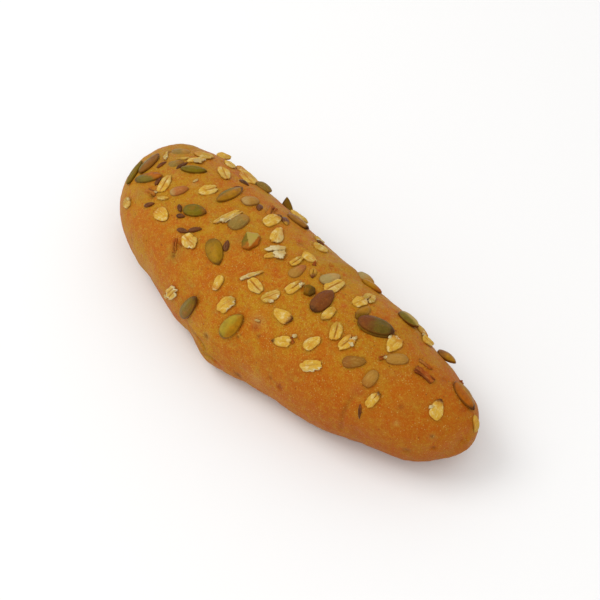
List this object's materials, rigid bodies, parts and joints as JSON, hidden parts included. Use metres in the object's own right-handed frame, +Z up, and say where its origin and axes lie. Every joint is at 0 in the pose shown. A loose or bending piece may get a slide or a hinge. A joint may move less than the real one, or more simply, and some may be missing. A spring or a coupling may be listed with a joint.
{
  "type": "seeded spelt stick roll",
  "caption": "Long narrow baked bread roll, slightly bowed, with a golden satin crust and a crown of pumpkin, sunflower and flax seeds and oat flakes; rests on its flat underside.",
  "frame": {"origin": "on the flat underside, at the middle of the roll", "axes": "+X along the roll towards its slimmer end, +Z up from the flat underside, +Y towards the side that both ends swing to"},
  "size_m": [0.205, 0.0767, 0.0469],
  "materials": {
    "crust": "satin baked crust, golden orange on top and paler at the foot",
    "pumpkin_seed": "satin olive-green seed, toasted brown at rim and tip",
    "sunflower_seed": "satin grey-tan hulled kernel",
    "oat_flake": "dull golden rolled flake with a pale frayed edge",
    "flax_seed": "smooth dark reddish-brown seed"
  },
  "bodies": {
    "root": {"roll": "crust"}
  },
  "joints": []
}
